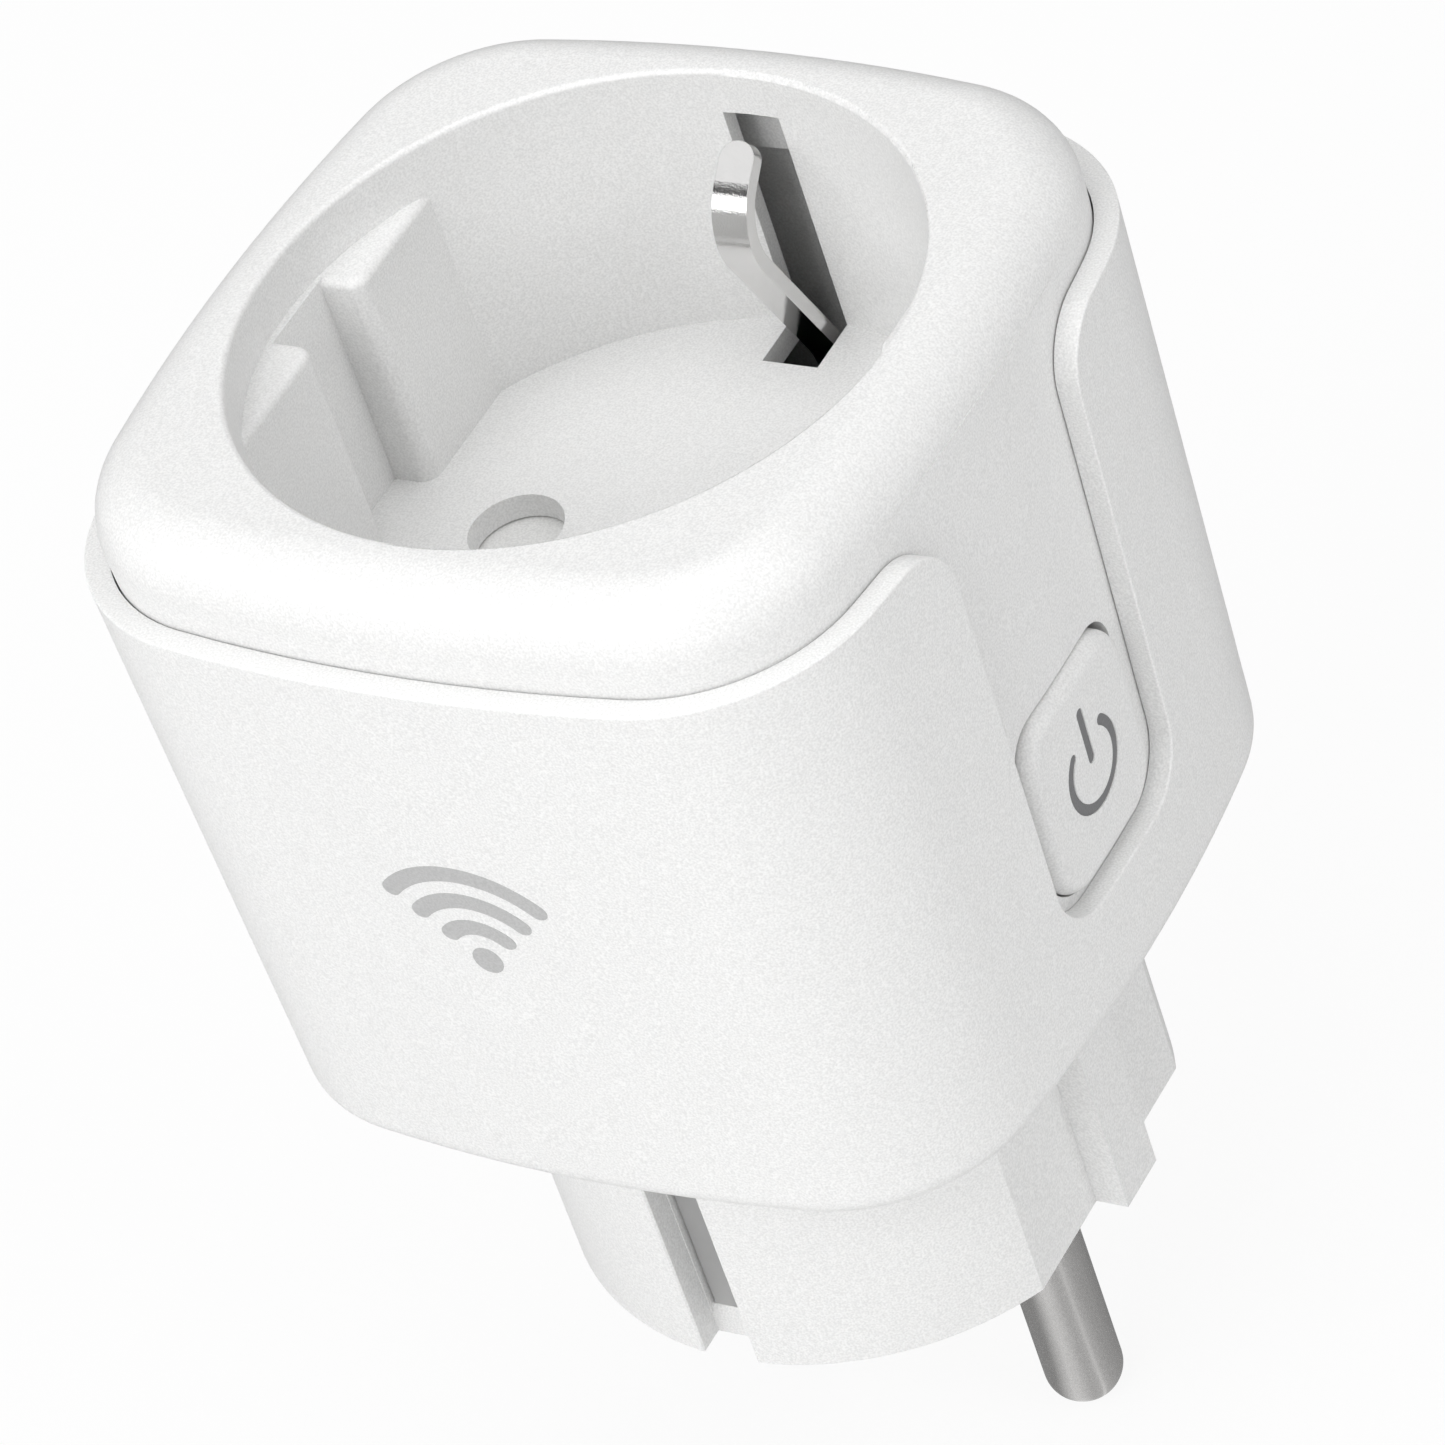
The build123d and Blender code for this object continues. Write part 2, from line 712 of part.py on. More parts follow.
def make_power_button():
    """Cup-shaped key with a soft front edge, a rear flange and the symbol cut through."""
    front_inset = cap_inset - button_proud
    key = across(button_outline(0), button_rear_x, 30) & body_block(0, 30, front_inset)
    front = key.faces().sort_by(Axis.X)[-1]
    key = fillet(front.edges(), button_edge_round)
    key += across(button_outline(button_flange_reach), button_rear_x, button_rear_x + button_flange)
    inside = across(button_outline(-button_wall), 15, 30)
    key -= inside & body_block(0, 30, front_inset + button_wall)
    return key - across(symbol_sketch(), 15, 30)


def make_light_guide():
    """Translucent insert behind the key: shows the symbol and pushes the switch."""
    front_inset = cap_inset - button_proud
    plate = across(button_outline(-button_wall - opening_gap), light_guide_x, 30)
    plate &= body_block(0, 30, front_inset + button_wall)
    symbol = across(symbol_sketch(), light_guide_x, 30)
    plate += symbol & body_block(0, 30, front_inset + symbol_sunk)
    return plate + rod_along_x(stem_radius, stem_tip_x + fit_gap, light_guide_x + 0.2, 0, switch_z)


# ---- Boards and components ----


def make_main_board():
    """Board across the body, cut out around the contacts, straps and pillars."""
    board = body_block(board_bottom_z, board_top_z, board_inset)
    margin = 1.0
    half_x = contact_width / 2 + margin
    half_y = contact_body_half + margin
    cutout = box(-half_x, half_x, -half_y, half_y, 0, board_top_z + 1)
    board -= Pos(pin_spacing_half, 0, 0) * cutout
    cutout += box(-half_x, half_x, busbar_far_y - margin, 0, 0, board_top_z + 1)
    board -= Pos(-pin_spacing_half, 0, 0) * cutout
    strap_half = strap_width / 2 + margin / 2
    for side in (-1, 1):
        board -= rod(pillar_radius + margin / 4, 0, board_top_z + 1, y=side * screw_y)
    notch = box(-strap_half, strap_half, strap_y - margin, half_width_rim, 0, board_top_z + 1)
    return board - notch - mirrored(notch)


def make_button_board():
    """Small upright board behind the power button."""
    half = button_board_half
    return box(button_board_x, button_board_face_x, -half, half, part_seat_z, button_board_top_z)


def make_switch_body():
    """Tactile switch on the upright board, with a well for its stem."""
    low = switch_z - switch_half
    body = box(button_board_face_x, switch_face_x, -switch_half, switch_half, low, low + 2 * switch_half)
    body = chamfer(body.edges().filter_by(Axis.X), switch_half / 5)
    well_x = switch_face_x - 3 * switch_travel
    return body - rod_along_x(stem_radius + opening_gap, well_x, switch_face_x + 1, 0, switch_z)


def make_switch_plunger():
    """Round stem of the tactile switch."""
    stem = rod_along_x(stem_radius, switch_face_x - 1.5 * switch_travel, stem_tip_x, 0, switch_z)
    return chamfer(stem.faces().sort_by(Axis.X)[-1].edges(), 0.2)


def make_status_led():
    """Lamp above the tactile switch that lights the symbol: a body with a clear window."""
    x = button_board_face_x
    lamp = box(x, x + 0.5, -1.0, 1.0, lamp_z - 0.8, lamp_z + 0.8)
    return lamp + box(x + 0.5, x + 1.1, -0.7, 0.7, lamp_z - 0.5, lamp_z + 0.5)


def make_wifi_board():
    """Upright radio board near the rear wall."""
    far_y = radio_board_y + radio_board_thickness
    return box(radio_board_left_x, radio_board_right_x, radio_board_y, far_y, part_seat_z,
               radio_board_top_z)


def make_wifi_shield():
    """Metal can over the radio chip, open towards its board."""
    left = radio_board_left_x + 1
    right = radio_board_right_x - 1
    low = part_seat_z + 1.35
    high = radio_board_top_z - 5
    near_y = radio_board_y - shield_depth
    wall = shield_wall
    can = box(left, right, near_y, radio_board_y, low, high)
    can = fillet(can.edges().filter_by(Axis.Y), 0.6)
    return can - box(left + wall, right - wall, near_y + wall, radio_board_y + 1, low + wall, high - wall)


def relay_footprint(z0, z1, wall=0.0):
    """Block over the relay's footprint, pulled in by wall."""
    return box(relay_left_x + wall, relay_right_x - wall, relay_front_y + wall,
               relay_back_y - wall, z0, z1)


def make_relay_base():
    """Foot of the relay."""
    return chamfer(relay_footprint(part_seat_z, relay_seat_z).edges().filter_by(Axis.Z), 0.5)


def make_relay_cover():
    """Dust cover of the relay."""
    cover = relay_footprint(relay_seat_z, relay_top_z)
    cover = fillet(cover.edges().filter_by(Axis.Z), 0.8)
    return cover - relay_footprint(0, relay_top_z - relay_wall, relay_wall)


def make_relay_coil():
    """Wound bobbin of the relay."""
    top_z = relay_seat_z + coil_height
    coil = rod(coil_radius, relay_seat_z, top_z, x=coil_x, y=coil_y)
    coil += rod(coil_rim_radius, relay_seat_z, relay_seat_z + coil_rim, x=coil_x, y=coil_y)
    coil += rod(coil_rim_radius, top_z - coil_rim, top_z, x=coil_x, y=coil_y)
    return coil - rod(core_radius, 0, cap_top_z, x=coil_x, y=coil_y)


def make_relay_yoke():
    """Iron core and the upright yoke that carries the flap's pivot edge."""
    core = rod(core_radius, relay_seat_z, relay_seat_z + core_height, x=coil_x, y=coil_y)
    post = box(yoke_left_x, yoke_right_x, coil_y - yoke_half_y, coil_y + yoke_half_y,
               relay_seat_z, relay_seat_z + yoke_height)
    return Compound(children=[core, post])


def make_relay_armature():
    """Iron flap over the core, with the spring blade that carries the contact."""
    flap = box(flap_left_x, yoke_right_x, coil_y - yoke_half_y, coil_y + yoke_half_y,
               flap_z, flap_z + flap_thickness)
    third = flap_thickness / 3
    blade = box(yoke_right_x, blade_right_x, coil_y - yoke_half_y / 2, coil_y + yoke_half_y / 2,
                flap_z + third, flap_z + 2 * third)
    contact_x = blade_right_x - relay_contact_radius - opening_gap
    contact = rod(relay_contact_radius, flap_z, flap_z + flap_thickness, x=contact_x, y=coil_y)
    return flap + blade + contact


def make_transformer_core():
    """Ferrite frame with a centre leg."""
    core = box(core_left_x, core_right_x, core_front_y, core_back_y, part_seat_z, core_top_z)
    middle = (core_left_x + core_right_x) / 2
    window = core_right_x - core_frame - middle - core_leg_half
    for low_x in (core_left_x + core_frame, middle + core_leg_half):
        core -= box(low_x, low_x + window, core_front_y - 1, core_back_y + 1,
                    part_seat_z + core_frame, core_top_z - core_frame)
    return core


def make_transformer_winding():
    """Bobbin and winding round the centre leg."""
    margin = winding_margin + fit_gap
    winding = box(core_left_x + margin, core_right_x - margin, winding_front_y, winding_back_y,
                  part_seat_z + margin, core_top_z - margin)
    winding = fillet(winding.edges().filter_by(Axis.Z), 1.5)
    return winding - make_transformer_core()


def make_can(x, y, radius, top_z):
    """Can capacitor with a crimp groove near its foot."""
    can = fillet(rod(radius, part_seat_z, top_z, x=x, y=y).edges(), can_edge_round)
    groove_z = part_seat_z + 1.6
    ring = rod(radius + 1, groove_z, groove_z + 0.6, x=x, y=y)
    return can - (ring - rod(radius - 0.3, 0, top_z, x=x, y=y))


def make_electrolytic_capacitors():
    """Two can capacitors."""
    return Compound(children=[make_can(*large_can), make_can(*small_can)])


def make_film_capacitor():
    """Boxed interference-suppression capacitor."""
    block = box(4.4, 14.4, 6.2, 12.2, part_seat_z, 17)
    return fillet(block.edges(), can_edge_round)


def make_varistor():
    """Surge-absorbing disc on two leads."""
    disc = rod_along_y(varistor_radius, varistor_front_y, varistor_back_y, varistor_x, varistor_z)
    disc = fillet(disc.edges(), 1.1)
    lead_y = (varistor_front_y + varistor_back_y) / 2
    for side in (-1, 1):
        lead_x = varistor_x + side * varistor_radius / 2
        disc += rod(0.4, part_seat_z, varistor_z - varistor_radius / 2, x=lead_x, y=lead_y)
    return disc


def make_fuse_resistor():
    """Fusible resistor standing on the board on its lead."""
    low = part_seat_z + 0.6
    body = rod(resistor_radius, low, resistor_top_z, x=resistor_x, y=resistor_y)
    lead = rod(0.35, part_seat_z, low, x=resistor_x, y=resistor_y)
    return fillet(body.edges(), resistor_radius / 3) + lead


def make_current_shunt():
    """Bent metal strip that measures the load current."""
    half = 2.6
    top_z = part_seat_z + 4
    points = [(-half, part_seat_z), (-half, top_z), (half, top_z), (half, part_seat_z)]
    return bent_strip(points, 0, 2.2, 0.6, 0.9)


# ---- Write every piece ----


def main():
    clip = make_earth_clip()
    strap = make_earth_strap()
    pieces = {
        "outer_shell": make_outer_shell(),
        "socket_housing": make_socket_housing(),
        "plug_base": make_plug_base(),
        "live_pin": make_pin(-pin_spacing_half, busbar_z),
        "neutral_pin": make_pin(pin_spacing_half, contact_base_z),
        "housing_screws": make_housing_screws(),
        "earth_clip_front": clip,
        "earth_clip_rear": mirrored(clip),
        "earth_strap_front": strap,
        "earth_strap_rear": mirrored(strap),
        "earth_rivets": make_earth_rivets(),
        "earth_wire": make_earth_wire(),
        "live_contact": make_contact(-pin_spacing_half),
        "neutral_contact": make_neutral_contact(),
        "live_busbar": make_live_busbar(),
        "contact_carrier": make_contact_carrier(),
        "carrier_screw": make_carrier_screw(),
        "shutter": make_shutter(),
        "shutter_spring": make_shutter_spring(),
        "power_button": make_power_button(),
        "light_guide": make_light_guide(),
        "main_board": make_main_board(),
        "button_board": make_button_board(),
        "switch_body": make_switch_body(),
        "switch_plunger": make_switch_plunger(),
        "status_led": make_status_led(),
        "wifi_board": make_wifi_board(),
        "wifi_shield": make_wifi_shield(),
        "relay_base": make_relay_base(),
        "relay_coil": make_relay_coil(),
        "relay_yoke": make_relay_yoke(),
        "relay_armature": make_relay_armature(),
        "relay_cover": make_relay_cover(),
        "transformer_core": make_transformer_core(),
        "transformer_winding": make_transformer_winding(),
        "electrolytic_capacitors": make_electrolytic_capacitors(),
        "film_capacitor": make_film_capacitor(),
        "varistor": make_varistor(),
        "fuse_resistor": make_fuse_resistor(),
        "current_shunt": make_current_shunt(),
    }
    os.makedirs("parts", exist_ok=True)
    for name, piece in pieces.items():
        export_step(piece, f"parts/{name}.step")


main()
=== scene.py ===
import json
import math

import bmesh
import bpy
from mathutils import Matrix, Vector
from mathutils.bvhtree import BVHTree

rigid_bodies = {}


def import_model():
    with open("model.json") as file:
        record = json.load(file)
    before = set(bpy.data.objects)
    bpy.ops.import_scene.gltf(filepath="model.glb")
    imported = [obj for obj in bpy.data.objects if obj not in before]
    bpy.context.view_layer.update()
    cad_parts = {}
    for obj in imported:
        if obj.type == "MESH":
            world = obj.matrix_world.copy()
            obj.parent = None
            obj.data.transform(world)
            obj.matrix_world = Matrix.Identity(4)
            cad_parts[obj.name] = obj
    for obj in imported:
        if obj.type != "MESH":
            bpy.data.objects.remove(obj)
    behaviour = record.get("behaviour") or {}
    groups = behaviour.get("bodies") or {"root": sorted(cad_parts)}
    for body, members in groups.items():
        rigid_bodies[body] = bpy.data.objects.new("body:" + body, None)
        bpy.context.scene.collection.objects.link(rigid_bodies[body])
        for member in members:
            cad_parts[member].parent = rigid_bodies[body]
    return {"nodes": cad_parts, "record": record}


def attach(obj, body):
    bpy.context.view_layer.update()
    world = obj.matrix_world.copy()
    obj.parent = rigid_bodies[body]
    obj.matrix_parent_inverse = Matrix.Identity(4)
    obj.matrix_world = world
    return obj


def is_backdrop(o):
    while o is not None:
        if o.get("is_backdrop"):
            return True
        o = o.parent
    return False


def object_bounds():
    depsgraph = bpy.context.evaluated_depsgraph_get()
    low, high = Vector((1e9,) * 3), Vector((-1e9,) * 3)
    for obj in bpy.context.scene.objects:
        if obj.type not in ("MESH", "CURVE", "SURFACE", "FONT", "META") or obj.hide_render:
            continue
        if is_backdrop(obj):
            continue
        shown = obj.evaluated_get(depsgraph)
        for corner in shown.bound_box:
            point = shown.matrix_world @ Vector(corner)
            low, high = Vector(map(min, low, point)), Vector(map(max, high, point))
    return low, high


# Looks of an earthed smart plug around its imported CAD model. Lengths are in metres.
MM = 0.001

# Camera: azimuth 0 looks along +Y and 90 along -X, elevation is above the horizon.
CAMERA_AZIMUTH = 41.10
CAMERA_ELEVATION = 39.35
CAMERA_ROLL = 19.96
CAMERA_DISTANCE = 438 * MM
CAMERA_TARGET = (-4.9 * MM, 3.8 * MM, 7.5 * MM)
CAMERA_LENS = 191.7
CAMERA_SHIFT = (0.0111, 0.0101)

# Soft area lights: name, azimuth and elevation in degrees, power in watts and height.
LIGHTS = (
    ("front", 0, 35, 6.8, 0.8),
    ("left_high", -45, 50, 0.65, 0.26),
    ("left_low", -45, 26, 2.35, 0.36),
    ("right", 90, 35, 3.9, 0.8),
    ("top", 0, 90, 4.3, 0.8),
    ("rear", 135, 65, 0.6, 0.8),
)
LIGHT_WIDTH = 0.8
LIGHT_DISTANCE = 1.2

# Brightness of the surroundings. In reflections it falls to OVERHEAD between two heights of the
# sky, which count from 0 at the horizon to 1 straight up.
AMBIENT = 0.385
DIM_FROM = 0.15
DIM_TO = 0.5
OVERHEAD = 0.03

FLOOR_SIZE = 4.0
FLOOR_DROP = 0.05 * MM
FLOOR_GLOW = 0.9
FLOOR_FIBRE = 1.5 * MM

# Grey cards round the plug pin, as its reflections see them: share of a turn and grey level.
PIN_X = 9.5 * MM
FLOOR_BANDS = (
    (0.0, 0.3),
    (0.14, 0.3),
    (0.25, 0.9),
    (0.3, 0.8),
    (0.36, 0.55),
    (0.415, 0.6),
    (0.428, 1.0),
    (0.445, 0.6),
    (0.52, 0.45),
    (0.75, 0.25),
)

# Wireless mark printed on the front wall: a dot under three arcs.
MARK_DOT_Z = 18.4 * MM
MARK_DOT_RADIUS = 0.95 * MM
MARK_DOT_STRETCH = 0.001 * MM
MARK_ARC_RADII = (2.5 * MM, 4.5 * MM, 6.5 * MM)
MARK_ARC_SPREAD = 46.0
MARK_STROKE = 1.1 * MM
MARK_INK = 0.015 * MM
MARK_STEP = 0.3 * MM
MARK_END_ANGLES = range(5, 90, 17)

# Surface detail of the materials: sizes of the pattern and depths of the relief.
WHITE = (0.86, 0.86, 0.855)
BLACK = (0, 0, 0, 1)
PLASTIC_GRAIN = 0.13 * MM
PLASTIC_FLOW = 9 * MM
PLASTIC_EDGE = 0.04 * MM
SOFT_DEPTH = 0.6 * MM
METAL_MARKS = 0.1 * MM
METAL_CLOUD = 2.5 * MM
METAL_EDGE = 0.05 * MM
TARNISH = 0.06
BOARD_WEAVE = 0.5 * MM
BOARD_TRACES = 3 * MM
BOARD_CLOUD = 1.5 * MM
BOARD_RELIEF = 0.006 * MM
BOARD_EDGE = 0.1 * MM
WIRE_PITCH = 0.35 * MM
WIRE_RELIEF = 0.08 * MM
LENS_HAZE = 0.8 * MM

# Width of one band of Blender's wave texture at scale 1.
WAVE_WIDTH = 0.314

# Noise stays mostly between these two values.
NOISE_LOW = 0.3
NOISE_HIGH = 0.7


# ---- Node helpers ----


class Shader:
    """A material's node tree with a Principled shader, and short calls to add nodes to it."""

    def __init__(self, name):
        self.material = bpy.data.materials.new(name)
        self.material.use_nodes = True
        self.tree = self.material.node_tree
        self.surface = self.tree.nodes["Principled BSDF"]

    def add(self, kind, inputs=None, **settings):
        """Adds a node. inputs maps input names to values or to other nodes' outputs."""
        node = self.tree.nodes.new(kind)
        for key, value in settings.items():
            setattr(node, key, value)
        for key, value in (inputs or {}).items():
            self.put(node, key, value)
        return node

    def put(self, node, key, value):
        """Sets one input of a node to a value, or links it to another node's output."""
        if isinstance(value, bpy.types.NodeSocket):
            self.tree.links.new(value, node.inputs[key])
        else:
            node.inputs[key].default_value = value

    def set(self, **inputs):
        """Sets inputs of the Principled shader; underscores stand for spaces."""
        for key, value in inputs.items():
            self.put(self.surface, key.replace("_", " "), value)

    def place(self, stretch=(1, 1, 1)):
        """Object coordinates, stretched per axis."""
        where = self.add("ShaderNodeTexCoord").outputs["Object"]
        if stretch == (1, 1, 1):
            return where
        return self.add("ShaderNodeMapping", {"Vector": where, "Scale": stretch}).outputs["Vector"]

    def noise(self, size, detail=2.0, rough=0.5, stretch=(1, 1, 1)):
        """Noise between 0 and 1 whose blotches are about size across."""
        inputs = {
            "Vector": self.place(stretch),
            "Scale": 1 / size,
            "Detail": detail,
            "Roughness": rough,
        }
        return self.add("ShaderNodeTexNoise", inputs).outputs["Fac"]

    def remap(self, value, low, high, to_low, to_high):
        """value moved from low..high to to_low..to_high, kept inside."""
        inputs = {
            "Value": value,
            "From Min": low,
            "From Max": high,
            "To Min": to_low,
            "To Max": to_high,
        }
        return self.add("ShaderNodeMapRange", inputs).outputs["Result"]

    def spread(self, noise, to_low, to_high):
        """Noise spread over to_low..to_high."""
        return self.remap(noise, NOISE_LOW, NOISE_HIGH, to_low, to_high)

    def math(self, operation, first, second):
        """One math operation on two values."""
        node = self.add("ShaderNodeMath", operation=operation)
        self.put(node, 0, first)
        self.put(node, 1, second)
        return node.outputs[0]

    def blend(self, share, first, second):
        """Mixes two colours."""
        node = self.add("ShaderNodeMix", data_type="RGBA")
        self.put(node, 0, share)
        self.put(node, 6, first)
        self.put(node, 7, second)
        return node.outputs[2]

    def bands(self, value, stops):
        """Grey that follows stops, pairs of a position between 0 and 1 and a grey level."""
        node = self.add("ShaderNodeValToRGB", {"Fac": value})
        ramp = node.color_ramp
        for _ in range(len(stops) - len(ramp.elements)):
            ramp.elements.new(1.0)
        for element, (position, grey) in zip(ramp.elements, stops):
            element.position = position
            element.color = (grey, grey, grey, 1)
        return node.outputs["Color"]

    def round_normal(self, radius):
        """Normal with the sharp edges rounded by radius."""
        return self.add("ShaderNodeBevel", {"Radius": radius}, samples=4).outputs["Normal"]

    def edge_mask(self, normal):
        """1 at sharp edges and 0 on flat faces, from a rounded normal."""
        true_normal = self.add("ShaderNodeNewGeometry").outputs["True Normal"]
        dot = self.add("ShaderNodeVectorMath", operation="DOT_PRODUCT")
        self.put(dot, 0, normal)
        self.put(dot, 1, true_normal)
        return self.remap(dot.outputs["Value"], 0.999, 0.9, 0.0, 1.0)

    def bump(self, height, depth, normal=None):
        """Normal pushed by a height between 0 and 1 that stands for depth."""
        inputs = {"Height": height, "Distance": depth, "Strength": 1.0}
        if normal is not None:
            inputs["Normal"] = normal
        return self.add("ShaderNodeBump", inputs).outputs["Normal"]


def tint(colour, factor):
    """colour made darker or lighter, as RGBA."""
    return tuple(min(1.0, channel * factor) for channel in colour[:3]) + (1.0,)


# ---- Materials ----


def moulded_plastic(name, colour, roughness=0.42, depth=0.017 * MM, softness=0.0):
    """Injection-moulded plastic: fine spark-eroded grain, faint flow marks, and smoother edges with a
    painted highlight that lightens their colour.
    """
    shader = Shader(name)
    rounded = shader.round_normal(PLASTIC_EDGE)
    edges = shader.edge_mask(rounded)
    flow = shader.noise(PLASTIC_FLOW, detail=3)
    fine = shader.noise(PLASTIC_GRAIN, detail=1, rough=0.4)
    body = shader.blend(flow, tint(colour, 0.985), tint(colour, 1.01))
    pits = shader.math("MULTIPLY", shader.spread(fine, 1.0, 0.0), 0.16)
    speckled = shader.blend(pits, body, BLACK)
    # Painted highlight: the colour lightens along the sharp edges.
    colour_with_edge_highlight = shader.blend(shader.math("MULTIPLY", edges, 0.4), speckled, tint(colour, 1.05))
    rough = shader.spread(fine, roughness - 0.05, roughness + 0.06)
    worn = shader.math("SUBTRACT", rough, shader.math("MULTIPLY", edges, 0.08))
    shader.set(Base_Color=colour_with_edge_highlight, Roughness=worn, IOR=1.5)
    shader.set(Normal=shader.bump(fine, depth, rounded))
    if softness:
        shader.set(Subsurface_Weight=softness, Subsurface_Scale=SOFT_DEPTH)
        shader.set(Subsurface_Radius=(1.0, 0.9, 0.8))
    return shader.material


def plated_metal(name, colour, roughness=0.2, brushed=(1, 1, 1), depth=0.0012 * MM, streaks=0.0):
    """Plated or bare metal: rolling marks along one axis, cloudy tarnish and a painted highlight along
    the edges.
    """
    shader = Shader(name)
    rounded = shader.round_normal(METAL_EDGE)
    edges = shader.edge_mask(rounded)
    cloud = shader.noise(METAL_CLOUD, detail=4)
    marks = shader.noise(METAL_MARKS, detail=1, stretch=brushed)
    body = shader.blend(cloud, tint(colour, 1.0 - TARNISH), tint(colour, 1.0 + TARNISH / 2))
    drawn = shader.math("MULTIPLY", shader.spread(marks, 1.0, 0.0), streaks)
    lined = shader.blend(drawn, body, tint(colour, 0.5))
    # Painted highlight: the colour lightens along the sharp edges.
    colour_with_edge_highlight = shader.blend(shader.math("MULTIPLY", edges, 0.5), lined, tint(colour, 1.15))
    rough = shader.spread(marks, roughness * 0.85, roughness * 1.2)
    shader.set(Base_Color=colour_with_edge_highlight, Roughness=rough, Metallic=1.0)
    shader.set(Normal=shader.bump(marks, depth, rounded))
    return shader.material


def printed_board(name, colour):
    """Glass-fibre board under solder mask: woven relief, copper traces and a glossy lacquer."""
    shader = Shader(name)
    where = shader.place()
    weave = shader.add("ShaderNodeTexChecker", {"Vector": where, "Scale": 1 / BOARD_WEAVE})
    bricks = shader.add("ShaderNodeTexBrick", {"Vector": where, "Scale": 1 / BOARD_TRACES})
    traces = shader.remap(bricks.outputs["Fac"], 0.0, 1.0, 0.0, 0.45)
    cloud = shader.noise(BOARD_CLOUD)
    body = shader.blend(cloud, tint(colour, 0.85), tint(colour, 1.1))
    shader.set(Base_Color=shader.blend(traces, body, tint(colour, 1.9)))
    shader.set(Roughness=shader.spread(cloud, 0.25, 0.4), Coat_Weight=0.4)
    rounded = shader.round_normal(BOARD_EDGE)
    shader.set(Normal=shader.bump(weave.outputs["Fac"], BOARD_RELIEF, rounded))
    return shader.material


def wound_wire(name, colour):
    """Turns of lacquered wire around a bobbin."""
    shader = Shader(name)
    inputs = {"Vector": shader.place(), "Scale": WAVE_WIDTH / WIRE_PITCH}
    settings = {"wave_type": "BANDS", "bands_direction": "Z", "wave_profile": "SIN"}
    turns = shader.add("ShaderNodeTexWave", inputs, **settings).outputs["Fac"]
    # Painted shade: the colour darkens from the crests of the turns into the grooves between them.
    shader.set(Base_Color=shader.blend(turns, tint(colour, 0.35), tint(colour, 1.1)))
    shader.set(Metallic=0.8, Roughness=shader.remap(turns, 0, 1, 0.5, 0.25))
    shader.set(Normal=shader.bump(turns, WIRE_RELIEF))
    return shader.material


def clear_lens(name, colour):
    """Clear moulded resin with a slight haze."""
    shader = Shader(name)
    haze = shader.noise(LENS_HAZE)
    shader.set(Base_Color=shader.blend(haze, tint(colour, 0.95), tint(colour, 1.05)))
    shader.set(Roughness=shader.spread(haze, 0.08, 0.2), Transmission_Weight=0.6)
    return shader.material


# For each material slot: the function that makes it, its colour and the values that differ.
MATERIALS = {
    "white_body": (moulded_plastic, WHITE, {"roughness": 0.46, "softness": 0.05}),
    "white_cap": (moulded_plastic, WHITE, {"roughness": 0.36, "depth": 0.003 * MM, "softness": 0.05}),
    "button_white": (moulded_plastic, WHITE, {"roughness": 0.4, "softness": 0.05}),
    "shutter_white": (moulded_plastic, (0.84, 0.84, 0.83), {"roughness": 0.35}),
    "carrier_white": (moulded_plastic, (0.8, 0.79, 0.76), {"roughness": 0.5}),
    "guide_grey": (moulded_plastic, (0.2, 0.2, 0.205), {"roughness": 0.38}),
    "mark_ink": (moulded_plastic, (0.5, 0.5, 0.5), {"roughness": 0.5}),
    "wire_insulation": (moulded_plastic, (0.32, 0.55, 0.09), {"roughness": 0.4}),
    "switch_black": (moulded_plastic, (0.03, 0.03, 0.032), {"roughness": 0.4}),
    "relay_black": (moulded_plastic, (0.035, 0.035, 0.04), {"roughness": 0.32}),
    "ferrite": (moulded_plastic, (0.07, 0.07, 0.075), {"roughness": 0.55}),
    "tape_yellow": (moulded_plastic, (0.85, 0.6, 0.08), {"roughness": 0.3}),
    "can_black": (moulded_plastic, (0.03, 0.035, 0.05), {"roughness": 0.3}),
    "film_blue": (moulded_plastic, (0.04, 0.18, 0.42), {"roughness": 0.35}),
    "varistor_blue": (moulded_plastic, (0.05, 0.14, 0.5), {"roughness": 0.35}),
    "resistor_green": (moulded_plastic, (0.13, 0.35, 0.22), {"roughness": 0.5}),
    "pin_nickel": (
        plated_metal,
        (0.7, 0.69, 0.68),
        {"roughness": 0.25, "brushed": (1, 1, 0.8), "streaks": 0.35},
    ),
    "bright_nickel": (plated_metal, (0.76, 0.755, 0.75), {"roughness": 0.12, "depth": 0.005 * MM}),
    "strap_nickel": (
        plated_metal,
        (0.7, 0.7, 0.7),
        {"roughness": 0.34, "brushed": (1, 1, 0.3), "streaks": 0.05},
    ),
    "contact_copper": (plated_metal, (0.86, 0.52, 0.36), {"roughness": 0.28, "brushed": (1, 1, 0.2)}),
    "screw_steel": (plated_metal, (0.56, 0.56, 0.55), {"roughness": 0.3}),
    "spring_steel": (plated_metal, (0.6, 0.6, 0.6), {"roughness": 0.22}),
    "can_steel": (plated_metal, (0.7, 0.7, 0.68), {"roughness": 0.25}),
    "iron": (plated_metal, (0.45, 0.45, 0.44), {"roughness": 0.4}),
    "shunt_alloy": (plated_metal, (0.6, 0.48, 0.38), {"roughness": 0.35}),
    "board_green": (printed_board, (0.02, 0.16, 0.06), {}),
    "copper_winding": (wound_wire, (0.7, 0.28, 0.12), {}),
    "lamp_clear": (clear_lens, (0.9, 0.93, 0.95), {}),
}


def make_material(slot):
    """The material of one slot."""
    maker, colour, values = MATERIALS[slot]
    return maker(slot, colour, **values)


def paint_nodes(frame):
    """Gives each CAD node the material of its slot in the record."""
    made = {}
    for part in frame["record"]["subparts"]:
        slot = part["material_slot"]
        if slot not in made:
            made[slot] = make_material(slot)
        node = frame["nodes"][part["node"]]
        node.data.materials.clear()
        node.data.materials.append(made[slot])


# ---- Printed mark ----


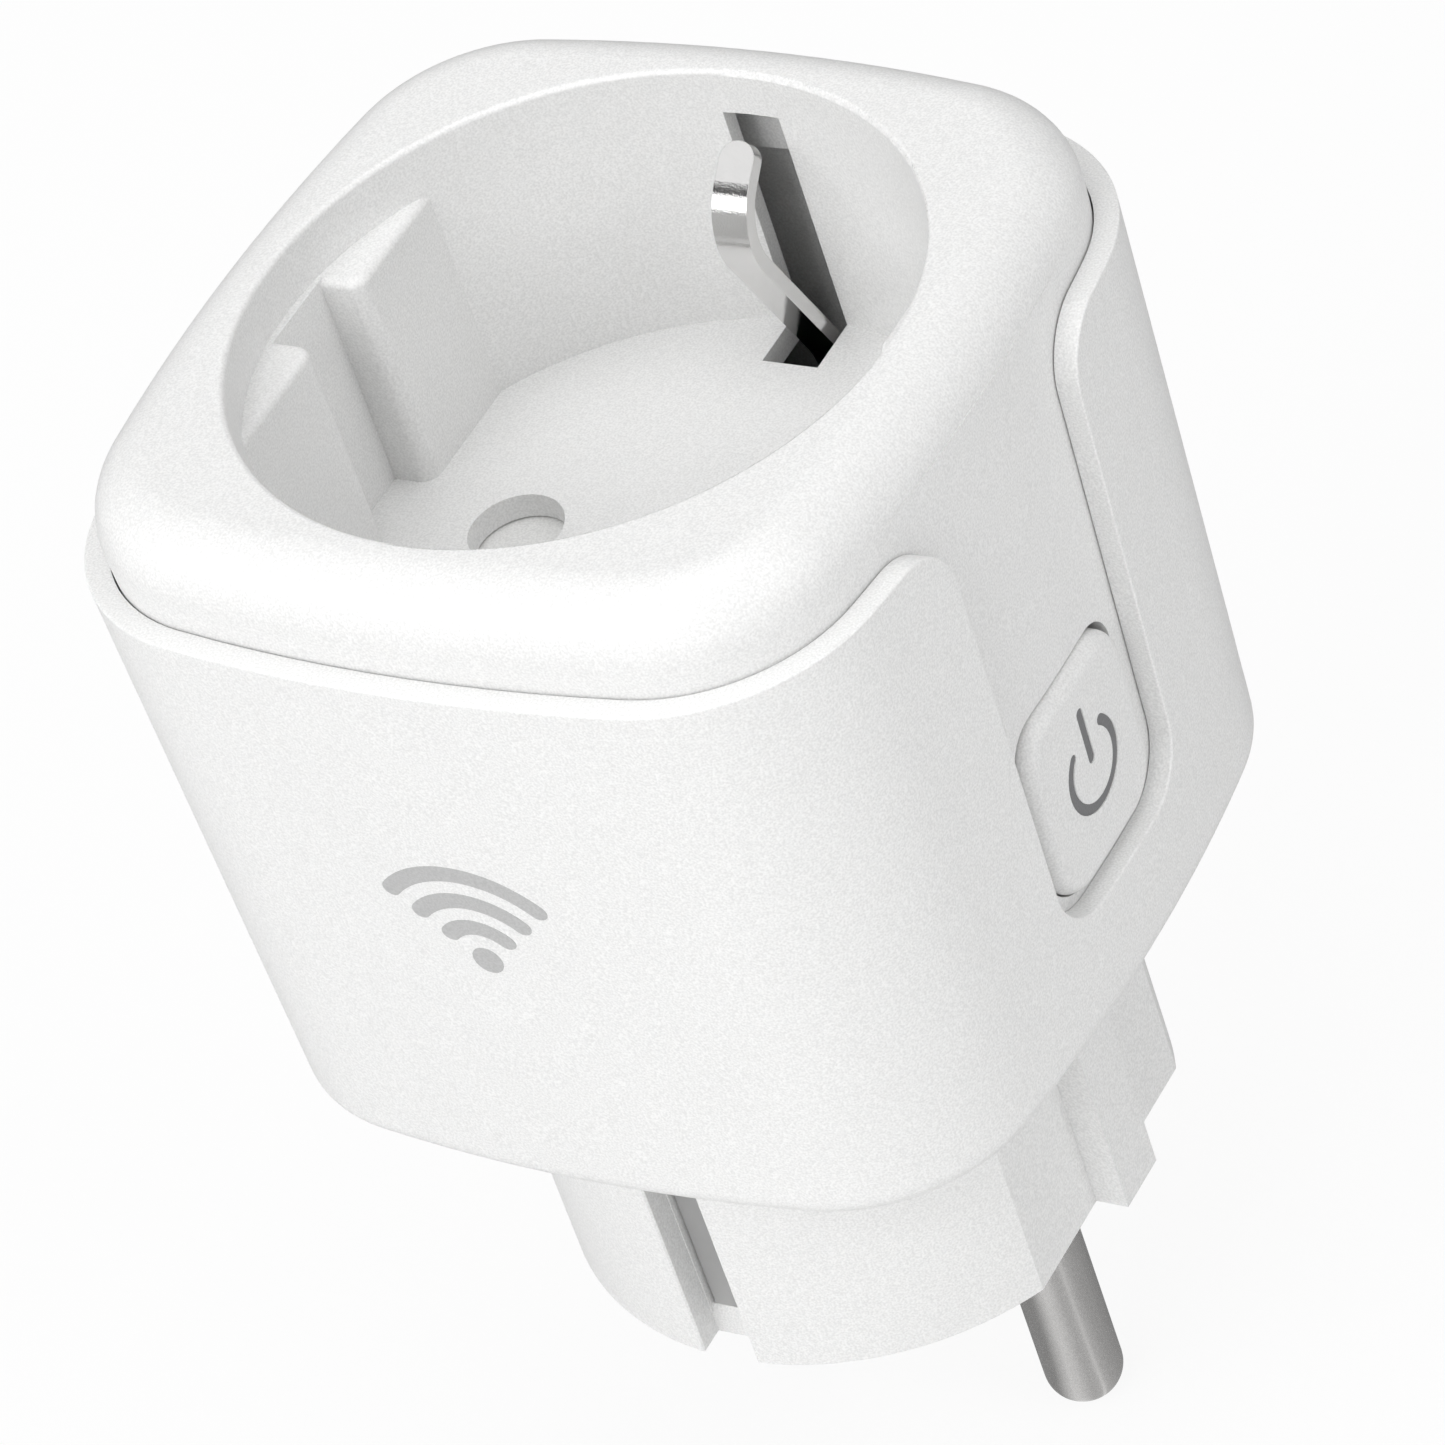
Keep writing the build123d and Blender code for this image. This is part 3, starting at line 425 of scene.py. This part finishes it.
def ribbon(start, end, width):
    """Stations along a stroke with round ends: distance along it and half width there."""
    half = width / 2
    turns = [math.radians(angle) for angle in MARK_END_ANGLES]
    head = [(start - half * math.cos(turn), half * math.sin(turn)) for turn in turns]
    steps = max(1, round((end - start) / MARK_STEP))
    middle = [(start + (end - start) * step / steps, half) for step in range(steps + 1)]
    tail = [(end + half * math.cos(turn), half * math.sin(turn)) for turn in reversed(turns)]
    return head + middle + tail


def mark_strokes():
    """Pairs of left and right edge points, in X and Z, for the dot and the arcs of the mark."""
    dot = ribbon(0, MARK_DOT_STRETCH, 2 * MARK_DOT_RADIUS)
    yield [((along, MARK_DOT_Z + half), (along, MARK_DOT_Z - half)) for along, half in dot]
    spread = math.radians(MARK_ARC_SPREAD)
    for radius in MARK_ARC_RADII:
        edges = []
        for along, half in ribbon(-spread * radius, spread * radius, MARK_STROKE):
            turn = along / radius
            outwards = Vector((math.sin(turn), math.cos(turn)))
            sides = [(radius + side * half) * outwards for side in (1, -1)]
            edges.append([(side.x, MARK_DOT_Z + side.y) for side in sides])
        yield edges


def print_mark(frame, material):
    """Thin layer of ink that follows the front wall."""
    shell = frame["nodes"]["outer_shell"]
    wall = BVHTree.FromObject(shell, bpy.context.evaluated_depsgraph_get())
    mesh = bmesh.new()

    def corner(point, lift):
        """Corner of the ink at a point in X and Z, lifted off the wall or sunk into it."""
        in_front = Vector((point[0], -1.0, point[1]))
        hit, normal, _, _ = wall.ray_cast(in_front, Vector((0, 1, 0)))
        return mesh.verts.new(hit + normal * lift)

    for stroke in mark_strokes():
        rings = []
        for left, right in stroke:
            outline = ((left, MARK_INK), (right, MARK_INK), (right, -MARK_INK), (left, -MARK_INK))
            rings.append([corner(point, lift) for point, lift in outline])
        for near, far in zip(rings, rings[1:]):
            for side in range(4):
                other = (side + 1) % 4
                mesh.faces.new((near[side], near[other], far[other], far[side]))
        mesh.faces.new(rings[0])
        mesh.faces.new(rings[-1][::-1])
    bmesh.ops.recalc_face_normals(mesh, faces=mesh.faces)
    data = bpy.data.meshes.new("wireless_mark")
    mesh.to_mesh(data)
    mesh.free()
    data.materials.append(material)
    mark = bpy.data.objects.new("wireless_mark", data)
    bpy.context.scene.collection.objects.link(mark)
    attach(mark, "casing")


# ---- Studio ----


def plain_floor(z):
    """Large pale floor: white to the camera, lit paper to the light, banded cards to reflections."""
    half = FLOOR_SIZE / 2
    mesh = bpy.data.meshes.new("floor")
    corners = [(-half, -half, z), (half, -half, z), (half, half, z), (-half, half, z)]
    mesh.from_pydata(corners, [], [(0, 1, 2, 3)])
    floor = bpy.data.objects.new("floor", mesh)
    bpy.context.scene.collection.objects.link(floor)
    shader = Shader("floor_paper")
    fibre = shader.noise(FLOOR_FIBRE, detail=4)
    paper = shader.blend(fibre, (0.8, 0.8, 0.8, 1), (0.83, 0.83, 0.83, 1))
    shader.set(Base_Color=paper, Roughness=0.9)
    rays = shader.add("ShaderNodeLightPath").outputs
    centre = shader.add("ShaderNodeMapping", {"Vector": shader.place(), "Location": (-PIN_X, 0, 0)})
    around = shader.add("ShaderNodeTexGradient", {"Vector": centre.outputs[0]}, gradient_type="RADIAL")
    cards = shader.bands(around.outputs["Fac"], FLOOR_BANDS)
    shade = shader.blend(rays["Is Camera Ray"], cards, (1, 1, 1, 1))
    glow = shader.add("ShaderNodeEmission", {"Color": shade, "Strength": 1.0})
    seen = shader.math("MAXIMUM", rays["Is Camera Ray"], rays["Is Glossy Ray"])
    mix = shader.add("ShaderNodeMixShader")
    shader.put(mix, 0, shader.math("MULTIPLY", seen, FLOOR_GLOW))
    shader.put(mix, 1, shader.surface.outputs[0])
    shader.put(mix, 2, glow.outputs[0])
    output = shader.tree.nodes["Material Output"]
    shader.tree.links.new(mix.outputs[0], output.inputs["Surface"])
    mesh.materials.append(shader.material)
    floor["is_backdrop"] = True


def direction(azimuth, elevation):
    """Unit vector from the object towards an azimuth and elevation, in degrees."""
    turn = math.radians(azimuth)
    tilt = math.radians(elevation)
    flat = math.cos(tilt)
    return Vector((math.sin(turn) * flat, -math.cos(turn) * flat, math.sin(tilt)))


def soft_light(name, azimuth, elevation, power, height):
    """Area light that faces the object from an azimuth and elevation, in degrees."""
    data = bpy.data.lights.new(name, "AREA")
    data.shape = "RECTANGLE"
    data.size = LIGHT_WIDTH
    data.size_y = height
    data.energy = power
    lamp = bpy.data.objects.new(name, data)
    bpy.context.scene.collection.objects.link(lamp)
    away = direction(azimuth, elevation)
    lamp.location = away * LIGHT_DISTANCE
    lamp.rotation_euler = away.to_track_quat("Z", "Y").to_euler()


def studio_world():
    """Even white surroundings for the light; reflections see them darker overhead."""
    world = bpy.data.worlds.new("studio")
    bpy.context.scene.world = world
    world.use_nodes = True
    tree = world.node_tree
    background = tree.nodes["Background"]
    background.inputs["Color"].default_value = (1, 1, 1, 1)
    rays = tree.nodes.new("ShaderNodeLightPath")
    towards = tree.nodes.new("ShaderNodeTexCoord")
    height = tree.nodes.new("ShaderNodeSeparateXYZ")
    tree.links.new(towards.outputs["Generated"], height.inputs[0])
    overhead = tree.nodes.new("ShaderNodeMapRange")
    tree.links.new(height.outputs["Z"], overhead.inputs["Value"])
    limits = {"From Min": DIM_FROM, "From Max": DIM_TO, "To Min": AMBIENT, "To Max": OVERHEAD}
    for name, value in limits.items():
        overhead.inputs[name].default_value = value
    choose = tree.nodes.new("ShaderNodeMix")
    tree.links.new(rays.outputs["Is Glossy Ray"], choose.inputs[0])
    choose.inputs[2].default_value = AMBIENT
    tree.links.new(overhead.outputs["Result"], choose.inputs[3])
    tree.links.new(choose.outputs[0], background.inputs["Strength"])


def photo_camera():
    """Long-lens camera, tilted about its own axis."""
    data = bpy.data.cameras.new("camera")
    data.lens = CAMERA_LENS
    data.shift_x, data.shift_y = CAMERA_SHIFT
    data.clip_start = 0.01
    camera = bpy.data.objects.new("camera", data)
    bpy.context.scene.collection.objects.link(camera)
    forward = -direction(CAMERA_AZIMUTH, CAMERA_ELEVATION)
    level = forward.cross(Vector((0, 0, 1))).normalized()
    down = forward.cross(level)
    roll = math.radians(CAMERA_ROLL)
    right = math.cos(roll) * level + math.sin(roll) * down
    up = math.sin(roll) * level - math.cos(roll) * down
    matrix = Matrix((right, up, -forward)).transposed().to_4x4()
    matrix.translation = Vector(CAMERA_TARGET) - forward * CAMERA_DISTANCE
    camera.matrix_world = matrix
    bpy.context.scene.camera = camera


# ---- Scene ----

for extra in list(bpy.data.objects):
    bpy.data.objects.remove(extra)
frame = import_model()
cad_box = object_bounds()
paint_nodes(frame)
print_mark(frame, make_material("mark_ink"))
plain_floor(cad_box[0][2] - FLOOR_DROP)
studio_world()
for light in LIGHTS:
    soft_light(*light)
photo_camera()
bpy.context.scene.view_settings.view_transform = "Standard"

boxes = {"cad": cad_box, "visual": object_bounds()}
{name: [list(corner) for corner in box] for name, box in boxes.items()}
